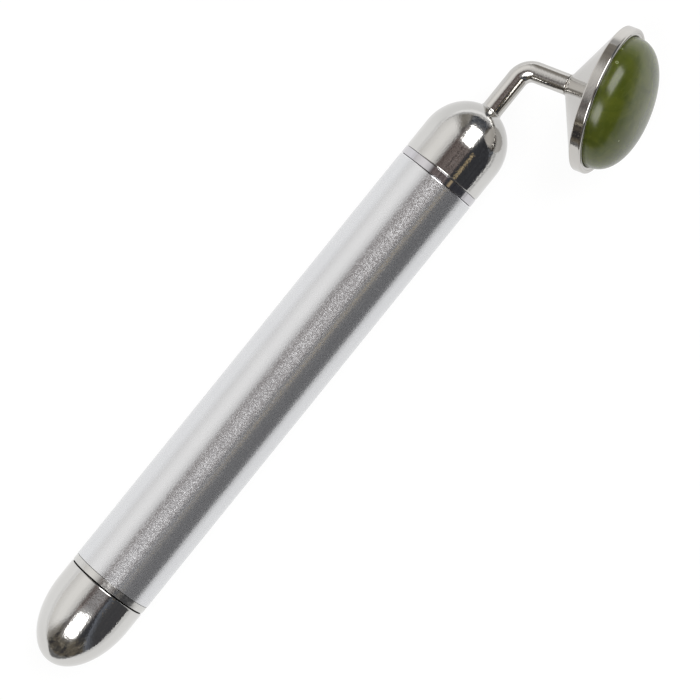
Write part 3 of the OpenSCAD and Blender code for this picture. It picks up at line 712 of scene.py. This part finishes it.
angles = [0, 0.15, 0.4, 0.8, 1.4, 2.2, 3.2, 4.4, 5.8, 7.4] + [9 + 1.5 * k for k in range(0, 50)] + [84.6, 85.8, 87, 88, 88.8, 89.4, 89.8, 90]
stone_pts = [(f + STONE_H * math.sin(a * D) ** (2 / STONE_N), STONE_R * max(0.0, math.cos(a * D)) ** (2 / STONE_N)) for a in angles]
stone_pts[-1] = (f + STONE_H, 0.0)
outline = [(W_FLOOR + 0.42, 0.0), (W_FLOOR + 0.42, STONE_R + 0.1), (W_FLOOR + 0.45, STONE_R + 0.17), (W_FLOOR + 0.52, STONE_R + 0.2),
           (f - 1.2, STONE_R + 0.2), (f - 1.0, STONE_R)] + stone_pts
stone = lathe("jade_dome", outline, HEAD, 256, closed=False, sharp=50)
stands_for(stone, "jade_stone", "roller", JADE)

# ---------------------------------------------------------------- pieces that keep their CAD shape
keep = {
    "battery_sleeve": WHITE_PLASTIC, "battery_cell": CELL, "battery_positive_terminal": CELL_METAL, "battery_negative_terminal": CELL_METAL,
    "positive_contact": BRASS, "contact_carrier": WHITE_PLASTIC, "ground_clip": BRASS, "motor_cradle": WHITE_PLASTIC, "motor_can": STEEL,
    "motor_end_cap": BLACK_PLASTIC, "motor_magnets": MAGNET, "motor_front_bush": BRASS, "motor_rear_bush": BRASS, "motor_terminals": BRASS,
    "motor_brushes": CARBON, "motor_shaft": STEEL, "motor_armature": COPPER, "motor_commutator": COPPER, "eccentric_weight": ALLOY,
    "coupling_sleeve": STEEL, "neck_washer": STEEL, "neck_nut": STEEL, "roller_spindle": HEAD_STEEL, "retaining_clip": HEAD_STEEL,
    "contact_retainer": STEEL, "spring_plate": BRASS, "roller_bush": HEAD_BRASS, "thrust_washer": WHITE_PLASTIC, "stone_pad": RUBBER,
}
for name, mat in keep.items():
    ob = frame["nodes"][name]
    for i in range(max(1, len(ob.data.materials))):
        if i < len(ob.data.materials):
            ob.data.materials[i] = mat
        else:
            ob.data.materials.append(mat)

# ---------------------------------------------------------------- floor
mesh = bpy.data.meshes.new("floor")
S = 3.0
mesh.from_pydata([(-S, -S, -0.00003), (S, -S, -0.00003), (S, S, -0.00003), (-S, S, -0.00003)], [], [(0, 1, 2, 3)])
floor = bpy.data.objects.new("floor", mesh)
scene.collection.objects.link(floor)
fm = bpy.data.materials.new("pale_floor")
fm.use_nodes = True
t = Tree(fm.node_tree)
out = t.node("ShaderNodeOutputMaterial")
add = t.node("ShaderNodeAddShader")
em = t.node("ShaderNodeEmission")
em.inputs["Color"].default_value = rgb(1, 1, 1)
co = t.node("ShaderNodeTexCoord").outputs["Object"]
# painted light: seen in the metal, the floor glows brightest where the side light falls and darker in bands away from
# it, and ends some way off in dark clutter; seen directly it is plain white
ahead = t.node("ShaderNodeSeparateXYZ")
t.put(ahead.inputs[0], co)
across = t.math("MULTIPLY", t.math("SUBTRACT", ahead.outputs[1], AXIS_Y), -1.0)
back_x = t.math("SUBTRACT", X0 - 21 * MM, ahead.outputs[0])
sheet = t.math("MULTIPLY", t.ramp(across, -0.12, 0.03, 0.94, 0.87), t.ramp(across, 0.05, 0.16, 1.0, 0.80))
sheet = t.math("MULTIPLY", sheet, t.math("SUBTRACT", 1.0, t.math("MULTIPLY", window(t, ahead.outputs[0], X0 + 0.103, X0 + 0.135, X0 + 0.150, X0 + 0.185), 0.13)))
corner = t.math("SUBTRACT", t.math("SUBTRACT", back_x, 0.033),
                t.math("MAXIMUM", t.math("MULTIPLY", across, -2.19), t.math("MULTIPLY", t.math("SUBTRACT", across, 0.003), 1.1)))
sheet = t.math("MULTIPLY", sheet, t.math("SUBTRACT", 1.0, t.math("MULTIPLY", window(t, across, -0.60, -0.35, -0.10, -0.06), 0.15)))
sheet = t.math("MULTIPLY", sheet, t.ramp(ahead.outputs[0], X0 + 0.22, X0 + 0.30, 1.0, 0.50))
sheet = t.math("MULTIPLY", sheet, t.math("ADD", 1.0, t.math("MULTIPLY", window(t, ahead.outputs[0], X0 + 0.155, X0 + 0.175, X0 + 0.20, X0 + 0.25), 0.15)))
tail = t.ramp(ahead.outputs[0], X0 + 0.106, X0 + 0.116, 0.0, 0.75)
off = t.math("MAXIMUM", t.ramp(corner, 0.0, 0.014), t.math("MULTIPLY", tail, window(t, across, 0.14, 0.19, 0.26, 0.34)))
clutter = t.ramp(t.noise(co, 30, 4, 0.75, 0.8), 0.46, 0.66, 0.030, 0.26)
sheet = t.math("ADD", t.math("MULTIPLY", sheet, t.math("SUBTRACT", 1.0, off)), t.math("MULTIPLY", clutter, off))
direct = t.node("ShaderNodeLightPath").outputs["Is Camera Ray"]
t.put(em.inputs["Strength"], t.math("ADD", t.math("MULTIPLY", sheet, t.math("SUBTRACT", 1.0, direct)), t.math("MULTIPLY", direct, 0.918)))
di = t.node("ShaderNodeBsdfDiffuse")
paper = t.noise(co, 60, 3, 0.5)
t.put(di.inputs["Color"], t.mix(paper, rgb(0.085, 0.085, 0.085), rgb(0.105, 0.105, 0.105)))
t.nt.links.new(em.outputs[0], add.inputs[0])
t.nt.links.new(di.outputs[0], add.inputs[1])
t.nt.links.new(add.outputs[0], out.inputs["Surface"])
dress(floor, fm)

# ---------------------------------------------------------------- camera, at the photograph's angle
DELTA, EPS, DIST, FOCAL = 3.34 * D, 1.1 * D, 0.8043, 3950.0
nv = Vector((0, -math.cos(DELTA), math.sin(DELTA)))
zp = Vector((0, math.sin(DELTA), math.cos(DELTA)))
xv = Vector((1, 0, 0))
along = math.cos(EPS) * xv - math.sin(EPS) * zp
right = 0.6283 * along + 0.7780 * nv
up = 0.7780 * along - 0.6283 * nv
back = math.sin(EPS) * xv + math.cos(EPS) * zp
right, up, back = right.normalized(), up.normalized(), back.normalized()
cam_data = bpy.data.cameras.new("camera")
cam_data.sensor_width = 36.0
cam_data.lens = 36.0 * FOCAL / 700.0
cam_data.clip_start, cam_data.clip_end = 0.01, 20.0
cam = bpy.data.objects.new("camera", cam_data)
scene.collection.objects.link(cam)
target = Vector((X0 + 51.76 * MM, AXIS_Y, AXIS_Z)) + 15.15 * MM * xv + 8.21 * MM * nv
m = Matrix((right, up, back)).transposed().to_4x4()
m.translation = target + DIST * back
cam.matrix_world = m
scene.camera = cam

# ---------------------------------------------------------------- studio light, all of it in the world so that nothing stands in the way of another view
world = bpy.data.worlds.new("studio")
scene.world = world
world.use_nodes = True
t = Tree(world.node_tree)
d = t.node("ShaderNodeTexCoord").outputs["Generated"]
a = t.dot(d, nv)                 # towards the side of the handle that the neck bends to
b = t.dot(d, xv)                 # towards the neck's end
c = t.dot(d, zp)                 # up
up_c = t.math("MAXIMUM", c, 0.02)
theta = t.math("ARCTAN2", a, c)  # angle from overhead, across the handle
tilt = t.math("DIVIDE", b, up_c)


def softbox(tilt_x, tilt_n, half_x, half_n, turn=0.0, edge=0.04):
    """A rectangular light with round corners far overhead, tilted along and across the handle, and the spill around it."""
    u = (math.tan(tilt_x * D) * xv + math.tan(tilt_n * D) * nv + zp).normalized()
    e1 = (xv - xv.dot(u) * u).normalized()
    e2 = u.cross(e1)
    if e2.dot(nv) < 0:
        e2 = -e2
    f1 = math.cos(turn * D) * e1 + math.sin(turn * D) * e2
    f2 = math.cos(turn * D) * e2 - math.sin(turn * D) * e1
    w = t.math("MAXIMUM", t.dot(d, u), 0.02)
    p = t.math("ABSOLUTE", t.math("DIVIDE", t.dot(d, f1), w))
    q = t.math("ABSOLUTE", t.math("DIVIDE", t.dot(d, f2), w))
    tp, tq = math.tan(half_x * D), math.tan(half_n * D)
    front = t.ramp(t.dot(d, u), 0.02, 0.1)
    corner = t.math("SQRT", t.math("ADD", t.math("POWER", t.math("MAXIMUM", t.math("SUBTRACT", p, tp - 0.07), 0.0), 2.0),
                                   t.math("POWER", t.math("MAXIMUM", t.math("SUBTRACT", q, tq - 0.07), 0.0), 2.0)))
    lit = t.math("MULTIPLY", front, t.ramp(corner, 0.07 - edge, 0.07 + edge, 1.0, 0.0))
    halo = t.math("MULTIPLY", front, t.math("POWER", t.ramp(corner, 0.07, 0.50, 1.0, 0.0), 5.0))
    return lit, halo


box_head, halo_head = softbox(33.8, 4.0, 22.0, 16.0, 2.0)
box_tip, halo_tip = softbox(-31.4, 2.2, 15.3, 15.0, -6.0)
boxes = t.math("MINIMUM", t.math("ADD", box_head, box_tip), 1.0)

mottle = t.noise(t.stretch(d, (46, 12, 12), (1.3, 0.2, 4.1)), 1.0, 1, 0.5)
blots = t.noise(t.stretch(d, (6, 6, 6), (3.1, 1.7, 0.4)), 1.0, 2, 0.6, 0.6)
specks = t.noise(t.stretch(d, (9, 9, 9), (0.7, 2.2, 5.3)), 1.0, 2, 0.6, 1.6)
strokes = t.noise(t.stretch(d, (13, 13, 13), (4.4, 1.1, 0.3)), 1.0, 1, 0.5, 2.2)

# dark room: nearly black on one side, brown-grey overhead
dark = t.mix(t.ramp(mottle, 0.40, 0.65), rgb(0.034, 0.035, 0.040), rgb(0.074, 0.076, 0.084))
over = t.mix(t.ramp(mottle, 0.44, 0.58), rgb(0.052, 0.042, 0.042), rgb(0.320, 0.262, 0.242))
room = t.mix(window(t, theta, -0.60, -0.30, 0.32, 0.46), dark, over)
# paler ceiling towards the tip of the handle
pale = t.math("MULTIPLY", window(t, theta, -0.42, -0.05, 0.18, 0.46), window(t, tilt, -1.10, -0.60, -0.12, -0.01))
room = t.mix(t.math("MULTIPLY", pale, t.ramp(mottle, 0.40, 0.60, 0.30, 1.0)), room, rgb(0.46, 0.455, 0.47))
# furniture beyond the two overhead lights: brown at the tip, blue-black at the head, with a few pale things in it
tip_far = t.ramp(tilt, -1.35, -0.80, 1.0, 0.0)
room = t.mix(tip_far, room, t.mix(t.ramp(blots, 0.36, 0.64), rgb(0.042, 0.041, 0.043), rgb(0.150, 0.130, 0.102)))
room = t.mix(t.math("MULTIPLY", tip_far, t.ramp(specks, 0.58, 0.65, 0.0, 0.95)), room, rgb(0.52, 0.48, 0.39))
head_far = t.ramp(tilt, 1.30, 1.75)
room = t.mix(head_far, room, t.mix(t.ramp(blots, 0.40, 0.66), rgb(0.052, 0.060, 0.075), rgb(0.120, 0.115, 0.112)))
room = t.mix(t.math("MULTIPLY", head_far, t.ramp(strokes, 0.56, 0.62, 0.0, 0.8)), room, rgb(0.34, 0.36, 0.39))
# a grey-blue board that stands slantwise on the far side of the tip, lit along its near edge
slant = t.math("SMOOTH_MIN", t.math("SUBTRACT", t.math("ADD", t.math("MULTIPLY", a, 0.737), t.math("MULTIPLY", b, 0.597)), t.math("MULTIPLY", c, 0.317)),
               t.math("ADD", t.math("ADD", t.math("MULTIPLY", a, 0.574), t.math("MULTIPLY", b, 0.819)), 0.055), 0.10)
aside = t.ramp(tilt, -0.08, -0.02, 1.0, 0.0)
behind = t.math("MULTIPLY", t.ramp(slant, -0.02, 0.01), aside)
room = t.mix(behind, room, t.mix(t.ramp(mottle, 0.35, 0.68), rgb(0.056, 0.057, 0.064), rgb(0.088, 0.086, 0.088)))
board = t.math("ADD", t.math("MULTIPLY", t.ramp(slant, 0.0, 0.20, 0.40, 0.0), behind), t.math("MULTIPLY", window(t, slant, -0.02, 0.0, 0.010, 0.035), 0.22))
room = t.mix(t.math("MULTIPLY", board, aside), room, rgb(0.28, 0.31, 0.37))
# a narrow wooden lath beside the ceiling
lath = t.math("MULTIPLY", window(t, theta, 0.545, 0.575, 0.665, 0.72), window(t, tilt, -0.07, -0.04, 0.045, 0.075))
room = t.mix(lath, room, rgb(0.56, 0.44, 0.26))

# large soft light along the other side, a little weaker near the table, with its two ends
side = t.math("ADD", t.ramp(theta, -0.59, -0.36, 0.70, 0.0), t.ramp(theta, -0.90, -0.50, 0.32, 0.0))
side = t.math("MULTIPLY", side, t.ramp(theta, -1.54, -1.04, 0.73, 1.0, "LINEAR"))
reach = t.math("DIVIDE", b, t.math("MAXIMUM", t.math("MULTIPLY", a, -1.0), 0.03))
ends = t.math("MULTIPLY", t.ramp(reach, 0.50, 1.15, 1.0, 0.0), t.ramp(reach, -1.45, -0.75))
near = t.ramp(theta, -0.75, -0.42, 1.0, 0.0)
past = t.math("MULTIPLY", t.math("SUBTRACT", 1.0, ends), near)
past = t.math("MULTIPLY", past, t.math("MULTIPLY", t.ramp(reach, 1.9, 2.7, 1.0, 0.0), t.ramp(reach, -2.0, -1.5)))
room = t.mix(past, room, t.mix(t.ramp(blots, 0.35, 0.62), rgb(0.235, 0.220, 0.200), rgb(0.320, 0.300, 0.270)))
room = t.mix(t.math("MINIMUM", t.math("MULTIPLY", side, ends), 1.0), room, rgb(1.02, 1.005, 0.985))
# a pale pole in the corner beyond the head
pole = t.math("ABSOLUTE", t.math("ADD", t.math("MULTIPLY", a, 0.882), t.math("MULTIPLY", b, 0.470)))
pole = t.math("MULTIPLY", t.ramp(pole, 0.008, 0.022, 1.0, 0.0), t.math("MULTIPLY", t.ramp(b, 0.45, 0.55), t.ramp(c, 0.70, 0.55)))
room = t.mix(t.math("MULTIPLY", pole, 0.55), room, rgb(0.46, 0.46, 0.46))
# light that spills round the two overhead lights
room = t.mix(t.math("MINIMUM", t.math("MULTIPLY", t.math("ADD", halo_head, halo_tip), 0.50), 1.0), room, rgb(0.86, 0.85, 0.83))
# the white sheet's far edge rises a little towards the head
low = t.math("SUBTRACT", c, t.math("MULTIPLY", t.math("MAXIMUM", b, 0.0), 0.045))
line = t.math("MULTIPLY", window(t, c, -0.01, 0.01, 0.03, 0.10), t.ramp(theta, -1.2, -0.9, 1.0, 0.0))
room = t.mix(t.math("MULTIPLY", line, 0.30), room, rgb(0.42, 0.40, 0.37))
white_side = t.math("MAXIMUM", t.ramp(a, 0.10, -0.10), t.ramp(b, -0.42, -0.22))
white_side = t.math("MULTIPLY", white_side, t.math("SUBTRACT", 1.0, t.math("MULTIPLY", t.math("MULTIPLY", t.ramp(a, 0.0, 0.35), t.ramp(b, 0.25, 0.55)), 0.50)))
room = t.mix(t.math("MULTIPLY", white_side, t.ramp(low, -0.02, 0.01, 1.0, 0.0)), room, rgb(0.84, 0.83, 0.815))
BOX = 5.0
col = t.mix(boxes, room, rgb(1.0, 0.995, 0.985))
strength = t.math("ADD", t.math("MULTIPLY", boxes, BOX - 1.0), 1.0)
bg = t.node("ShaderNodeBackground")
t.put(bg.inputs["Color"], col)
t.put(bg.inputs["Strength"], strength)
white = t.node("ShaderNodeBackground")
white.inputs["Color"].default_value = rgb(1, 1, 1)
white.inputs["Strength"].default_value = 1.05
mixer = t.node("ShaderNodeMixShader")
t.put(mixer.inputs[0], t.node("ShaderNodeLightPath").outputs["Is Camera Ray"])
t.nt.links.new(bg.outputs[0], mixer.inputs[1])
t.nt.links.new(white.outputs[0], mixer.inputs[2])
wo = t.node("ShaderNodeOutputWorld")
t.nt.links.new(mixer.outputs[0], wo.inputs["Surface"])
world.cycles.sampling_method = "MANUAL"
world.cycles.sample_map_resolution = 1024

scene.view_settings.view_transform = "Standard"
scene.view_settings.look = "None"
scene.view_settings.exposure = 0.0
scene.view_settings.gamma = 1.0
